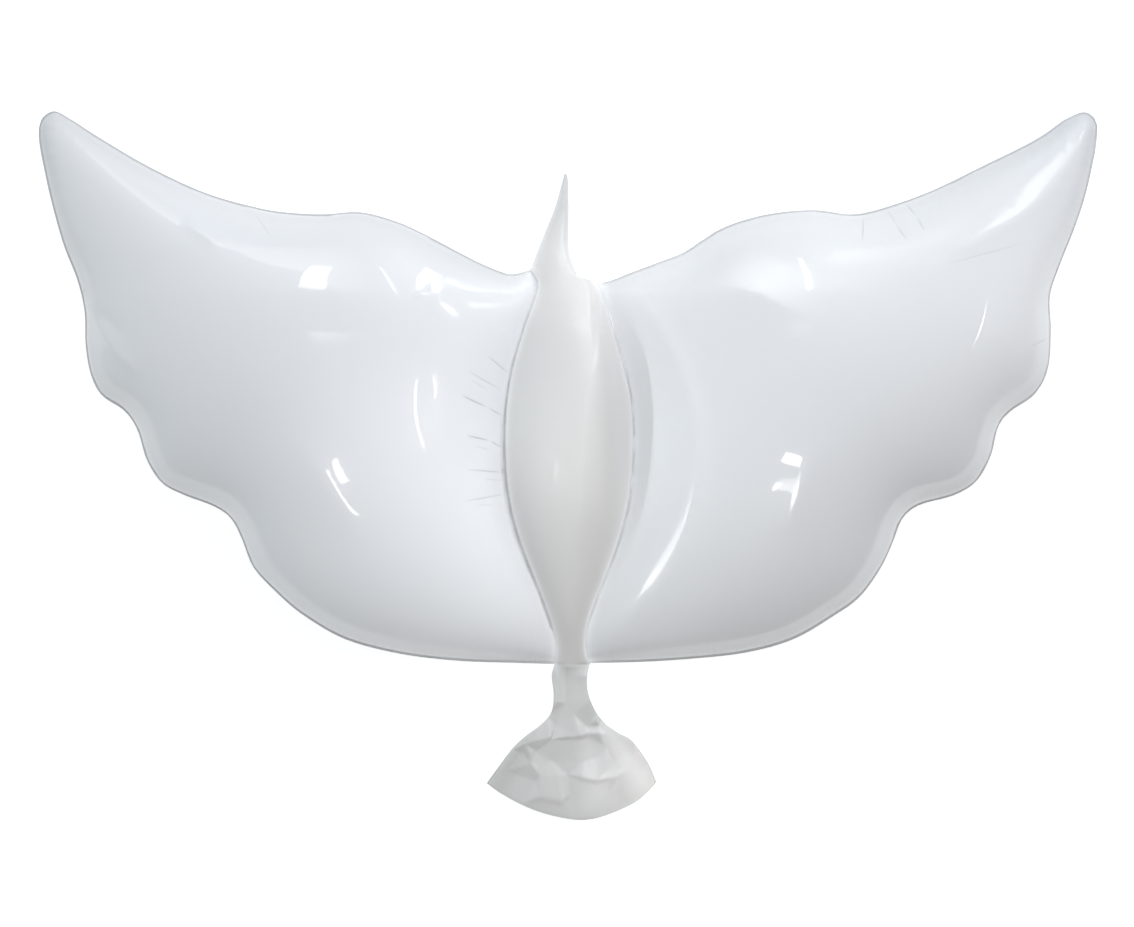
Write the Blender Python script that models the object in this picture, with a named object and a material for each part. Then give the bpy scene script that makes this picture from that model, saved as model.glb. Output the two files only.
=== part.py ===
"""A dove-shaped film balloon, blown up and lying on its back with its breast keel up.

The envelope is one sealed piece: two swollen wings, a keeled body with a head and a beak, and a flat,
limp tail. Its film panels are welded along the outline and along the two wing roots. The solid stands for
the film and the gas in it. +X runs along the wings, +Y towards the beak and +Z from the back to the breast.
"""
import math

import bmesh
import bpy
import numpy as np

MM = 0.001
WELD_DISTANCE = 0.02 * MM

# Driving sizes, in millimetres.
WING_SPAN = 1040.0
BREAST_HEIGHT = 84.0
ROOT_OPENING = 60.0
FILM_THICKNESS = 3.0
TAIL_DROOP = 34.0
FAN_PLEAT = 2.5
FLOOR_PRESS = 5.0
BACK_PRESS = 8.0

# How the shape swells, as plain ratios. A low power gives the body a keel, and a high one a round back.
WING_SWELL = 0.56
BREAST_POWER = 1.6
BACK_POWER = 2.4
FAN_PLEATS = 2.6
PLEAT_POWER = 0.7
DROOP_POWER = 1.5
FLOOR_SOFTNESS = 0.6

# How finely the sheets are divided.
WING_ROW_COUNT = 20
WING_COLUMN_COUNT = 34
BODY_COLUMN_COUNT = 10
HEAD_ROW_COUNT = 9
TAIL_ROW_COUNT = 15
WING_ROW_CROWDING = 0.75
WING_COLUMN_CROWDING = 0.4

# Outline points in millimetres, seen from above, on a balloon of the drawn span. The origin is the
# middle of the wing span. Every line has only the points that its shape needs, and a smooth curve runs
# through them.
DRAWN_SPAN = 1040.0

LEFT_LEADING = [
    (-37, 194), (-54, 190), (-67, 193), (-86, 201), (-104, 210), (-140, 229), (-169, 242), (-204, 251),
    (-241, 249), (-278, 251), (-307, 256), (-356, 270), (-410, 295), (-458, 323), (-486, 341),
]
LEFT_TIP = [(-486, 341), (-503, 350), (-514, 346), (-519, 337), (-520, 325), (-518, 309)]
LEFT_TRAILING = [
    (-13, -193), (-47, -192), (-106, -190), (-165, -183), (-218, -169), (-260, -145), (-287, -122),
    (-309, -98), (-320, -71), (-331, -50), (-348, -38), (-377, -27), (-399, -15), (-414, 8), (-423, 37),
    (-436, 56), (-458, 71), (-469, 92), (-474, 121), (-475, 153), (-482, 184), (-496, 220), (-509, 267),
    (-518, 309),
]
LEFT_SEAM = [
    (-37, 194), (-30, 182), (-32, 168), (-45, 130), (-56, 88), (-61, 42), (-60, -7), (-54, -46),
    (-43, -82), (-28, -120), (-18, -148), (-12, -171), (-13, -193),
]

RIGHT_LEADING = [
    (30, 181), (43, 184), (63, 192), (90, 202), (113, 211), (130, 222), (151, 235), (179, 245),
    (210, 251), (245, 253), (277, 249), (306, 254), (355, 271), (409, 297), (459, 322), (488, 342),
]
RIGHT_TIP = [(488, 342), (505, 349), (515, 346), (520, 337), (520, 325), (518, 308)]
RIGHT_TRAILING = [
    (22, -192), (71, -191), (120, -188), (174, -182), (221, -169), (261, -146), (287, -127), (308, -98),
    (320, -72), (329, -50), (345, -37), (380, -27), (402, -13), (416, 12), (423, 40), (435, 55),
    (459, 72), (472, 97), (475, 134), (474, 168), (483, 197), (497, 232), (509, 268), (518, 308),
]
RIGHT_SEAM = [
    (30, 181), (36, 165), (44, 137), (53, 106), (61, 72), (64, 37), (63, -2), (59, -36), (50, -71),
    (37, -107), (26, -134), (19, -159), (18, -179), (22, -192),
]

BEAK_TIP = (-3, 290)
HEAD_LEFT = [BEAK_TIP, (-6, 279), (-13, 255), (-25, 225), (-37, 194)]
HEAD_RIGHT = [BEAK_TIP, (0, 284), (1, 255), (1, 216), (5, 203), (10, 189), (18, 184), (30, 181)]

TAIL_LEFT = [
    (-13, -193), (-16, -205), (-14, -222), (-16, -240), (-25, -252), (-42, -265), (-56, -279),
    (-80, -312),
]
TAIL_RIGHT = [
    (22, -192), (19, -205), (20, -221), (27, -239), (37, -252), (49, -261), (61, -267), (69, -276),
    (80, -293), (88, -312),
]
TAIL_END = [
    (-80, -312), (-66, -323), (-46, -334), (-18, -345), (10, -350), (36, -346), (64, -334), (79, -322),
    (88, -312),
]

# Where the keel runs between the two seams, as (y, share of the width from the left seam).
KEEL_PLACE = [
    (290, 0.5), (225, 0.5), (190, 0.6), (160, 0.72), (90, 0.68), (20, 0.6), (-50, 0.54), (-90, 0.48),
    (-192, 0.42), (-350, 0.5),
]
# How far the breast and the back stand off the wing plane, as (y, share of the greatest).
BREAST_PROFILE = [
    (290, 0.0), (276, 0.06), (258, 0.11), (238, 0.17), (215, 0.26), (190, 0.42), (165, 0.61), (130, 0.83),
    (85, 0.96), (40, 1.0), (0, 0.98), (-40, 0.9), (-80, 0.74), (-120, 0.53), (-150, 0.35), (-175, 0.18),
    (-192, 0.09), (-206, 0.02), (-240, 0.0), (-350, 0.0),
]
BACK_PROFILE = [
    (290, 0.0), (276, 0.07), (258, 0.13), (240, 0.22), (218, 0.34), (196, 0.46), (172, 0.6), (130, 0.82),
    (85, 0.96), (40, 1.0), (0, 1.0), (-40, 0.92), (-80, 0.76), (-120, 0.54), (-150, 0.35), (-175, 0.18),
    (-192, 0.09), (-206, 0.02), (-240, 0.0), (-350, 0.0),
]
NECK_Y = -200.0
FAN_START_Y = -240.0
TAIL_END_Y = -350.0
TAIL_MIDDLE_X = 4.0
NECK_HALF_WIDTH = 20.0
FAN_HALF_WIDTH = 82.0

SCALE = WING_SPAN / DRAWN_SPAN


def smooth_line(points, per_span=12):
    """Run a Catmull-Rom curve through the points and return it as a fine line."""
    spots = np.array(points, dtype=float)
    ends = np.vstack([2 * spots[0] - spots[1], spots, 2 * spots[-1] - spots[-2]])
    t = np.linspace(0, 1, per_span, endpoint=False)[:, None]
    spans = []
    for a, b, c, d in zip(ends, ends[1:], ends[2:], ends[3:]):
        square = (2 * a - 5 * b + 4 * c - d) * t**2
        cube = (3 * b - a - 3 * c + d) * t**3
        spans.append(0.5 * (2 * b + (c - a) * t + square + cube))
    return np.vstack([*spans, spots[-1:]])


def along(line, share):
    """Return the points at the given shares of a line's length."""
    steps = np.linalg.norm(np.diff(line, axis=0), axis=1)
    run = np.concatenate([[0.0], np.cumsum(steps)]) / max(steps.sum(), 1e-9)
    return np.stack([np.interp(share, run, line[:, axis]) for axis in (0, 1)], axis=-1)


def profile(points, y):
    """Read a hand-drawn profile at y."""
    line = smooth_line(points)[::-1]
    return np.interp(y, line[:, 0], line[:, 1])


def crowded(cells, crowding):
    """Return shares from 0 to 1 that crowd towards both ends, where a swollen sheet turns steeply."""
    even = np.linspace(0, 1, cells + 1)
    return crowding * (1 - np.cos(math.pi * even)) / 2 + (1 - crowding) * even


def flat_sheet(near, far, first, last, u, v):
    """Fill four edges with a grid of points. near and far run with u, and first and last run with v."""
    across, down = u[..., None], v[..., None]
    ruled = (1 - down) * along(near, u) + down * along(far, u)
    ruled = ruled + (1 - across) * along(first, v) + across * along(last, v)
    left = (1 - down) * near[0] + down * far[0]
    right = (1 - down) * near[-1] + down * far[-1]
    return ruled - (1 - across) * left - across * right


def swell(flat, rim):
    """Return how high an evenly pressed film stands over a flat grid, with its edge held at rim."""
    rows, columns = flat.shape[:2]
    spots = flat.reshape(-1, 2)
    number = np.arange(rows * columns).reshape(rows, columns)
    corners = (number[:-1, :-1], number[:-1, 1:], number[1:, 1:], number[1:, :-1])
    a, b, c, d = (corner.ravel() for corner in corners)
    triangles = np.vstack([np.column_stack([a, b, c]), np.column_stack([a, c, d])])
    corner = spots[triangles]
    opposite = np.roll(corner, -1, axis=1) - np.roll(corner, 1, axis=1)
    area = 0.5 * np.abs(opposite[:, 0, 0] * opposite[:, 1, 1] - opposite[:, 0, 1] * opposite[:, 1, 0])
    stiffness = np.zeros((len(spots), len(spots)))
    load = np.zeros(len(spots))
    for i in range(3):
        np.add.at(load, triangles[:, i], area / 3)
        for j in range(3):
            coupling = (opposite[:, i] * opposite[:, j]).sum(axis=1) / (4 * area)
            np.add.at(stiffness, (triangles[:, i], triangles[:, j]), coupling)
    held = np.ones((rows, columns), dtype=bool)
    held[1:-1, 1:-1] = False
    held = held.ravel()
    height = rim.ravel().copy()
    push = load[~held] - stiffness[np.ix_(~held, held)] @ height[held]
    height[~held] = np.linalg.solve(stiffness[np.ix_(~held, ~held)], push)
    return height.reshape(rows, columns)


def root_web(v):
    """Return the half height of the opening between wing and body, which closes at both ends of the root."""
    return ROOT_OPENING / 2 * np.sqrt(np.sin(math.pi * np.clip(v, 0, 1)))


def wing_sheet(leading, trailing, seam, tip):
    """Return a wing's flat grid, from root to tip and from front to back, and its half thickness."""
    down_chord = crowded(WING_ROW_COUNT, WING_ROW_CROWDING)
    along_span = crowded(WING_COLUMN_COUNT, WING_COLUMN_CROWDING)
    v, u = np.meshgrid(down_chord, along_span, indexing="ij")
    edges = [smooth_line(edge) * SCALE for edge in (leading, trailing, seam, tip)]
    flat = flat_sheet(*edges, u, v)
    rim = np.zeros(u.shape)
    rim[:, 0] = (root_web(v[:, 0]) / WING_SWELL) ** 2 / 2
    return flat, WING_SWELL * np.sqrt(2 * np.maximum(swell(flat, rim), 0))


def body_sheet(left, right, near, far, v, web, back_depth):
    """Return a stretch of the body's flat grid, with its heights above and below the wing plane."""
    turn = np.linspace(-1, 1, BODY_COLUMN_COUNT + 1)
    side = np.sin(math.pi / 2 * turn)
    lefts, rights = along(left, v), along(right, v)
    y = (lefts[:, 1] + rights[:, 1]) / 2 / SCALE
    keel = profile(KEEL_PLACE, y)[:, None]
    share = np.where(side < 0, keel + side * keel, keel + side * (1 - keel))
    flat = flat_sheet(near, far, left, right, share, np.repeat(v[:, None], BODY_COLUMN_COUNT + 1, axis=1))
    film = np.where(y < NECK_Y, FILM_THICKNESS / 2, 0.0)
    heights = []
    for shape, greatest, power in (
        (BREAST_PROFILE, BREAST_HEIGHT, BREAST_POWER),
        (BACK_PROFILE, back_depth, BACK_POWER),
    ):
        arch = np.sqrt(np.maximum(1 - np.abs(side) ** power, 0))
        top = np.maximum(profile(shape, y) * greatest, np.maximum(film, web))[:, None]
        heights.append(web[:, None] + (top - web[:, None]) * arch)
    return flat, heights[0], heights[1]


def wing_plane(flat, level):
    """Return the height of the weld line: level over wings and body, drooping and pleated in the tail."""
    x, y = flat[..., 0] / SCALE, flat[..., 1] / SCALE
    down = np.clip((NECK_Y - y) / (NECK_Y - TAIL_END_Y), 0, 1)
    fan = np.clip((FAN_START_Y - y) / (FAN_START_Y - TAIL_END_Y), 0, 1)
    half_width = NECK_HALF_WIDTH + (FAN_HALF_WIDTH - NECK_HALF_WIDTH) * fan
    pleat = np.sin(math.pi * FAN_PLEATS * (x - TAIL_MIDDLE_X) / half_width) * fan**PLEAT_POWER
    return level - TAIL_DROOP * down**DROOP_POWER + FAN_PLEAT * pleat


def pressed(z):
    """Flatten what the floor presses, with a soft start, so that the lowest swell becomes a level patch."""
    soft = FLOOR_PRESS * FLOOR_SOFTNESS
    blend = (z + soft) ** 2 / (4 * soft)
    return np.where(z <= -soft, 0.0, np.where(z >= soft, z, blend))


def add_sheets(mesh, flat, above, below, level):
    """Add one grid's upper and lower sheets to a mesh, facing away from each other."""
    plane = wing_plane(flat, level)
    for z, upper in ((plane + above, True), (pressed(plane - below), False)):
        points = np.concatenate([flat, z[..., None]], axis=-1) * MM
        corners = [[mesh.verts.new(point) for point in row] for row in points]
        for row, following in zip(corners, corners[1:]):
            for a, b, c, d in zip(row, row[1:], following[1:], following):
                mesh.faces.new((d, c, b, a) if upper else (a, b, c, d))


def centre_over_origin(mesh):
    """Slide the mesh sideways until the middle of its box is over the origin."""
    spots = np.array([corner.co for corner in mesh.verts])
    middle = (spots.min(axis=0) + spots.max(axis=0)) / 2
    bmesh.ops.translate(mesh, verts=mesh.verts, vec=(-middle[0], -middle[1], 0.0))


def build_envelope():
    """Build the balloon as one closed solid."""
    left, left_half = wing_sheet(LEFT_LEADING, LEFT_TRAILING, LEFT_SEAM, LEFT_TIP)
    right, right_half = wing_sheet(RIGHT_LEADING, RIGHT_TRAILING, RIGHT_SEAM, RIGHT_TIP)
    depth = max(left_half.max(), right_half.max())
    level = depth - FLOOR_PRESS
    back_depth = level + BACK_PRESS

    seams = [smooth_line(edge) * SCALE for edge in (LEFT_SEAM, RIGHT_SEAM)]
    head = [smooth_line(edge) * SCALE for edge in (HEAD_LEFT, HEAD_RIGHT)]
    tail = [smooth_line(edge) * SCALE for edge in (TAIL_LEFT, TAIL_RIGHT)]
    beak = np.array([head[0][0], head[1][0]])
    neck = np.array([seams[0][0], seams[1][0]])
    rump = np.array([seams[0][-1], seams[1][-1]])
    tail_end = smooth_line(TAIL_END) * SCALE

    chord = crowded(WING_ROW_COUNT, WING_ROW_CROWDING)
    head_rows = np.linspace(0, 1, HEAD_ROW_COUNT + 1)
    tail_rows = np.linspace(0, 1, TAIL_ROW_COUNT + 1)
    stretches = [
        body_sheet(*head, beak, neck, head_rows, np.zeros(HEAD_ROW_COUNT + 1), back_depth),
        body_sheet(*seams, neck, rump, chord, root_web(chord), back_depth),
        body_sheet(*tail, rump, tail_end, tail_rows, np.zeros(TAIL_ROW_COUNT + 1), back_depth),
    ]

    for height in stretches[-1][1:]:
        height[-1] = 0.0

    mesh = bmesh.new()
    add_sheets(mesh, left[:, ::-1], left_half[:, ::-1], left_half[:, ::-1], level)
    add_sheets(mesh, right, right_half, right_half, level)
    for flat, above, below in stretches:
        add_sheets(mesh, flat, above, below, level)
    bmesh.ops.remove_doubles(mesh, verts=mesh.verts, dist=WELD_DISTANCE)
    bmesh.ops.dissolve_degenerate(mesh, edges=mesh.edges, dist=WELD_DISTANCE / 2)
    bmesh.ops.triangulate(mesh, faces=mesh.faces, quad_method="SHORT_EDGE")
    centre_over_origin(mesh)
    data = bpy.data.meshes.new("dove_envelope")
    mesh.to_mesh(data)
    mesh.free()
    data.shade_smooth()
    envelope = bpy.data.objects.new("dove_envelope", data)
    bpy.context.scene.collection.objects.link(envelope)
    return envelope


def white_film():
    """Return the glossy white film, very slightly blue."""
    material = bpy.data.materials.new("white_film")
    material.use_nodes = True
    shader = material.node_tree.nodes["Principled BSDF"]
    shader.inputs["Base Color"].default_value = (0.86, 0.87, 0.9, 1.0)
    shader.inputs["Roughness"].default_value = 0.15
    shader.inputs["Metallic"].default_value = 0.0
    return material


for leftover in list(bpy.data.objects):
    bpy.data.objects.remove(leftover)
build_envelope().data.materials.append(white_film())
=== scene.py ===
# %% [markdown]
# # A dove-shaped film balloon
# A film balloon starts as flat panels of thin, printed plastic film. The panels are welded to each
# other along their outline, and gas swells them. This lesson lays the panels out as grids, swells them
# as gas would, adds the folds and creases that a weld pulls into the film, and gives the whole balloon
# a glossy white finish.
#
# The imported model comes first. It is the solid that the checks use. It is the solid that says how
# large the balloon is and where it lies. The finished film takes its place exactly.

# %% Load the imported model
import math

import bpy
import numpy as np
from mathutils import Matrix, Vector, noise
from mathutils.geometry import delaunay_2d_cdt


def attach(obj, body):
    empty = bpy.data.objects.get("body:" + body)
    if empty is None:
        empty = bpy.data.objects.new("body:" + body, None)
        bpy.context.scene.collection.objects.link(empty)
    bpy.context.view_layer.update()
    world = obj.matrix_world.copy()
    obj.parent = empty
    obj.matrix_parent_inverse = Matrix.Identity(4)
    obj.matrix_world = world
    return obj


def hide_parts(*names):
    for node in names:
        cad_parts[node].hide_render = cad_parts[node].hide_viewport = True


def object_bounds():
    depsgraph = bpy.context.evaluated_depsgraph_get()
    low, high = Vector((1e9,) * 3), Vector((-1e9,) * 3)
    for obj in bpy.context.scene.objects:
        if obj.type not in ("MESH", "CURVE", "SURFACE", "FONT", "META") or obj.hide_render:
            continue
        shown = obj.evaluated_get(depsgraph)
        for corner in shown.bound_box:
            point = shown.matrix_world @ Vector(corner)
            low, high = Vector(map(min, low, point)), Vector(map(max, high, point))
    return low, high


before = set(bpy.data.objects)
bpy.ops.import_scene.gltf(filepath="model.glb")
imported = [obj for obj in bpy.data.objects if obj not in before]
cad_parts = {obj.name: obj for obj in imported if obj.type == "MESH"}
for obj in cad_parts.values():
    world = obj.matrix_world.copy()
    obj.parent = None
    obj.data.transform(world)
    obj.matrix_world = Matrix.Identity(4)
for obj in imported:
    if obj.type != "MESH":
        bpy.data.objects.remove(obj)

CAD_LOW, CAD_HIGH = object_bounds()
print("The solid balloon is", [round(side, 4) for side in CAD_HIGH - CAD_LOW], "metres")

# %% [markdown]
# ## The camera
# The photograph looks straight at the spread wings. The balloon lies on its back here, so the camera
# hangs above it and looks straight down. It is far away and has a long lens, as a product photographer
# would choose, so that the thick middle doesn't look larger than the welded rim.

# %% Hang the camera above the balloon
PHOTO_WIDTH, PHOTO_HEIGHT = 1134, 927
WING_TIP_PIXELS = (38.0, 1098.0)
BALLOON_MIDDLE_PIXEL = (568.0, 467.5)
CAMERA_DISTANCE = 3.4
WELD_LEVEL = CAD_HIGH.z / 2

METRES_PER_PIXEL = (CAD_HIGH.x - CAD_LOW.x) / (WING_TIP_PIXELS[1] - WING_TIP_PIXELS[0])
camera_data = bpy.data.cameras.new("photo_camera")
camera_data.lens = camera_data.sensor_width * CAMERA_DISTANCE / (PHOTO_WIDTH * METRES_PER_PIXEL)
camera = bpy.data.objects.new("photo_camera", camera_data)
camera.location = (
    (PHOTO_WIDTH / 2 - BALLOON_MIDDLE_PIXEL[0]) * METRES_PER_PIXEL,
    (BALLOON_MIDDLE_PIXEL[1] - PHOTO_HEIGHT / 2) * METRES_PER_PIXEL,
    WELD_LEVEL + CAMERA_DISTANCE,
)
bpy.context.scene.collection.objects.link(camera)
bpy.context.scene.camera = camera
print("One pixel is", round(METRES_PER_PIXEL * 1000, 3), "mm")
print("The lens is", round(camera_data.lens), "mm")

# %% [markdown]
# ## The panels' outlines
# Each wing has four edges: the leading edge, the rounded tip, the scalloped trailing edge and the weld
# at its root. The points are the same as the solid's, in millimetres, because the film has to end where
# the solid does. Only the points that the shape needs are given, and a smooth curve runs through them.

# %% Outline points, in millimetres
LEFT_LEADING = [
    (-37, 194), (-54, 190), (-67, 193), (-86, 201), (-104, 210), (-140, 229), (-169, 242), (-204, 251),
    (-241, 249), (-278, 251), (-307, 256), (-356, 270), (-410, 295), (-458, 323), (-486, 341),
]
LEFT_TIP = [(-486, 341), (-503, 350), (-514, 346), (-519, 337), (-520, 325), (-518, 309)]
LEFT_TRAILING = [
    (-13, -193), (-47, -192), (-106, -190), (-165, -183), (-218, -169), (-260, -145), (-287, -122),
    (-309, -98), (-320, -71), (-331, -50), (-348, -38), (-377, -27), (-399, -15), (-414, 8), (-423, 37),
    (-436, 56), (-458, 71), (-469, 92), (-474, 121), (-475, 153), (-482, 184), (-496, 220), (-509, 267),
    (-518, 309),
]
LEFT_SEAM = [
    (-37, 194), (-30, 182), (-32, 168), (-45, 130), (-56, 88), (-61, 42), (-60, -7), (-54, -46),
    (-43, -82), (-28, -120), (-18, -148), (-12, -171), (-13, -193),
]
RIGHT_LEADING = [
    (30, 181), (43, 184), (63, 192), (90, 202), (113, 211), (130, 222), (151, 235), (179, 245),
    (210, 251), (245, 253), (277, 249), (306, 254), (355, 271), (409, 297), (459, 322), (488, 342),
]
RIGHT_TIP = [(488, 342), (505, 349), (515, 346), (520, 337), (520, 325), (518, 308)]
RIGHT_TRAILING = [
    (22, -192), (71, -191), (120, -188), (174, -182), (221, -169), (261, -146), (287, -127), (308, -98),
    (320, -72), (329, -50), (345, -37), (380, -27), (402, -13), (416, 12), (423, 40), (435, 55),
    (459, 72), (472, 97), (475, 134), (474, 168), (483, 197), (497, 232), (509, 268), (518, 308),
]
RIGHT_SEAM = [
    (30, 181), (36, 165), (44, 137), (53, 106), (61, 72), (64, 37), (63, -2), (59, -36), (50, -71),
    (37, -107), (26, -134), (19, -159), (18, -179), (22, -192),
]
BEAK_TIP = (-3, 290)
HEAD_LEFT = [BEAK_TIP, (-6, 279), (-13, 255), (-25, 225), (-37, 194)]
HEAD_RIGHT = [BEAK_TIP, (0, 284), (1, 255), (1, 216), (5, 203), (10, 189), (18, 184), (30, 181)]
TAIL_LEFT = [
    (-13, -193), (-16, -205), (-14, -222), (-16, -240), (-25, -252), (-42, -265), (-56, -279),
    (-80, -312),
]
TAIL_RIGHT = [
    (22, -192), (19, -205), (20, -221), (27, -239), (37, -252), (49, -261), (61, -267), (69, -276),
    (80, -293), (88, -312),
]
TAIL_END = [
    (-80, -312), (-66, -323), (-46, -334), (-18, -345), (10, -350), (36, -346), (64, -334), (79, -322),
    (88, -312),
]

# %% A smooth line through given points


def smooth_line(points, per_span=12):
    """Run a Catmull-Rom curve through the points and return it as a fine line."""
    spots = np.array(points, dtype=float)
    ends = np.vstack([2 * spots[0] - spots[1], spots, 2 * spots[-1] - spots[-2]])
    t = np.linspace(0, 1, per_span, endpoint=False)[:, None]
    spans = []
    for a, b, c, d in zip(ends, ends[1:], ends[2:], ends[3:]):
        square = (2 * a - 5 * b + 4 * c - d) * t**2
        cube = (3 * b - a - 3 * c + d) * t**3
        spans.append(0.5 * (2 * b + (c - a) * t + square + cube))
    return np.vstack([*spans, spots[-1:]])


def along(line, share):
    """Return the points at the given shares of a line's length."""
    steps = np.linalg.norm(np.diff(line, axis=0), axis=1)
    run = np.concatenate([[0.0], np.cumsum(steps)]) / max(steps.sum(), 1e-9)
    return np.stack([np.interp(share, run, line[:, axis]) for axis in (0, 1)], axis=-1)


def nearest(flat, line):
    """Return each point's distance to a line, where along the line that is, and on which side."""
    points = flat.reshape(-1, 2)
    gap = np.full(len(points), np.inf)
    run, side = np.zeros(len(points)), np.zeros(len(points))
    passed = 0.0
    for a, b in zip(line, line[1:]):
        length = max(np.linalg.norm(b - a), 1e-9)
        way = (b - a) / length
        offset = points - a
        reach = np.clip(offset @ way, 0, length)
        distance = np.linalg.norm(offset - reach[:, None] * way, axis=1)
        closer = distance < gap
        gap[closer] = distance[closer]
        run[closer] = passed + reach[closer]
        side[closer] = (way[0] * offset[:, 1] - way[1] * offset[:, 0])[closer]
        passed += length
    return gap.reshape(flat.shape[:-1]), run.reshape(flat.shape[:-1]), side.reshape(flat.shape[:-1])


print("The left wing's trailing edge has", len(smooth_line(LEFT_TRAILING)), "fine points")

# %% [markdown]
# ## From four edges to a flat sheet
# A sheet between four edges is a Coons patch: the straight blends between opposite edges are added, and
# the blend of the four corners is taken away again. The grid lines crowd towards the edges, because a
# swollen film turns steeply there and needs more of them.

# %% Grids between four edges
WING_ROW_COUNT = 96
WING_COLUMN_COUNT = 140
BODY_COLUMN_COUNT = 90
HEAD_ROW_COUNT = 44
TAIL_ROW_COUNT = 96
WING_ROW_CROWDING = 0.8
WING_COLUMN_CROWDING = 0.5


def crowded(cells, crowding):
    """Return shares from 0 to 1 that crowd towards both ends."""
    even = np.linspace(0, 1, cells + 1)
    return crowding * (1 - np.cos(math.pi * even)) / 2 + (1 - crowding) * even


def flat_sheet(near, far, first, last, u, v):
    """Fill four edges with a grid of points. near and far run with u, and first and last run with v."""
    across, down = u[..., None], v[..., None]
    ruled = (1 - down) * along(near, u) + down * along(far, u)
    ruled = ruled + (1 - across) * along(first, v) + across * along(last, v)
    left = (1 - down) * near[0] + down * far[0]
    right = (1 - down) * near[-1] + down * far[-1]
    return ruled - (1 - across) * left - across * right


# %% [markdown]
# ## Swelling a wing
# Gas presses on a film with the same force everywhere. The height of such a film follows a well-known
# equation: its curvature is the same at every point, and it is zero along the weld. The square root of
# that height has the round rim of a real pouch. A wing has tens of thousands of vertices, so the
# equation is solved by conjugate gradients, which only ever multiplies by the film's own matrix.
#
# The weld itself is a narrow flange where both layers lie flat on each other, so the height is held at
# zero over the flange's whole width. At the root the wing is open to the body, and the height is held
# at half that opening.

# %% The pressed film equation
WING_SWELL = 0.56
ROOT_OPENING = 60.0
FLANGE_WIDTH = 2.2
FLANGE_THICKNESS = 0.3
SOLVER_STEPS = 1500
SOLVER_GOAL = 1e-7


def film_matrix(flat):
    """Return the film's stiffness as lists of rows, columns and values, and the load on each vertex."""
    rows, columns = flat.shape[:2]
    spots = flat.reshape(-1, 2)
    number = np.arange(rows * columns).reshape(rows, columns)
    corners = (number[:-1, :-1], number[:-1, 1:], number[1:, 1:], number[1:, :-1])
    a, b, c, d = (corner.ravel() for corner in corners)
    triangles = np.vstack([np.column_stack([a, b, c]), np.column_stack([a, c, d])])
    corner = spots[triangles]
    opposite = np.roll(corner, -1, axis=1) - np.roll(corner, 1, axis=1)
    area = 0.5 * np.abs(opposite[:, 0, 0] * opposite[:, 1, 1] - opposite[:, 0, 1] * opposite[:, 1, 0])
    load = np.bincount(triangles.ravel(), np.repeat(area / 3, 3), len(spots))
    pairs = [(i, j) for i in range(3) for j in range(3)]
    row = np.concatenate([triangles[:, i] for i, j in pairs])
    column = np.concatenate([triangles[:, j] for i, j in pairs])
    products = [(opposite[:, i] * opposite[:, j]).sum(axis=1) / (4 * area) for i, j in pairs]
    value = np.concatenate(products)
    return row, column, value, load


def swell(flat, rim, held):
    """Return how high a pressed film stands over a flat grid, at the rim's height where it is held."""
    row, column, value, load = film_matrix(flat)
    free = ~held.ravel()
    diagonal = np.bincount(row[row == column], value[row == column], free.size)

    def pull(height):
        return np.bincount(row, value * height[column], free.size)

    height = rim.ravel().copy()
    rest = np.where(free, load - pull(height), 0)
    aim = rest / diagonal
    energy = (rest * aim).sum()
    start = energy
    for step in range(SOLVER_STEPS):
        push = np.where(free, pull(aim), 0)
        length = energy / (aim * push).sum()
        height += length * aim
        rest -= length * push
        scaled = rest / diagonal
        new_energy = (rest * scaled).sum()
        if new_energy < start * SOLVER_GOAL**2:
            break
        aim = scaled + new_energy / energy * aim
        energy = new_energy
    print("  the film settled after", step + 1, "steps")
    return height.reshape(rim.shape)


def root_web(v):
    """Return half the height of the opening from wing to body, which closes at both ends."""
    return ROOT_OPENING / 2 * np.sqrt(np.sin(math.pi * np.clip(v, 0, 1)))


# %% Swell both wings


def wing_sheet(leading, trailing, seam, tip):
    """Return a wing's flat grid, half thickness, distance to the weld and place along the weld."""
    leading, trailing, seam, tip = (smooth_line(edge) for edge in (leading, trailing, seam, tip))
    down_chord = crowded(WING_ROW_COUNT, WING_ROW_CROWDING)
    along_span = crowded(WING_COLUMN_COUNT, WING_COLUMN_CROWDING)
    v, u = np.meshgrid(down_chord, along_span, indexing="ij")
    flat = flat_sheet(leading, trailing, seam, tip, u, v)
    outline = np.vstack([leading, tip[1:], trailing[::-1][1:]])
    weld_gap, weld_run = nearest(flat, outline)[:2]
    held = weld_gap < FLANGE_WIDTH
    held[:, 0] = True
    rim = np.zeros(u.shape)
    rim[:, 0] = (root_web(v[:, 0]) / WING_SWELL) ** 2 / 2
    half = WING_SWELL * np.sqrt(2 * np.maximum(swell(flat, rim, held), 0))
    half[1:-1, 1:-1] = np.maximum(half, FLANGE_THICKNESS / 2)[1:-1, 1:-1]
    return flat, half, weld_gap, weld_run


left_flat, left_half, left_gap, left_run = wing_sheet(LEFT_LEADING, LEFT_TRAILING, LEFT_SEAM, LEFT_TIP)
right_edges = (RIGHT_LEADING, RIGHT_TRAILING, RIGHT_SEAM, RIGHT_TIP)
right_flat, right_half, right_gap, right_run = wing_sheet(*right_edges)
FLOOR_PRESS = 5.0
WING_DEPTH = max(left_half.max(), right_half.max())
LEVEL = WING_DEPTH - FLOOR_PRESS
print("The wings swell", round(WING_DEPTH, 1), "mm to each side of their weld")

# %% [markdown]
# ## The body, the head and the tail
# The body is a pouch that stands across the wings. Seen from its keel it is a lens between the two root
# welds, and it runs on into a narrow head with a pointed beak, and into a flat tail. Its section is
# drawn as an arch from seam to seam, and two side profiles say how high the breast and how deep the
# back stand at each place along the bird.

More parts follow.
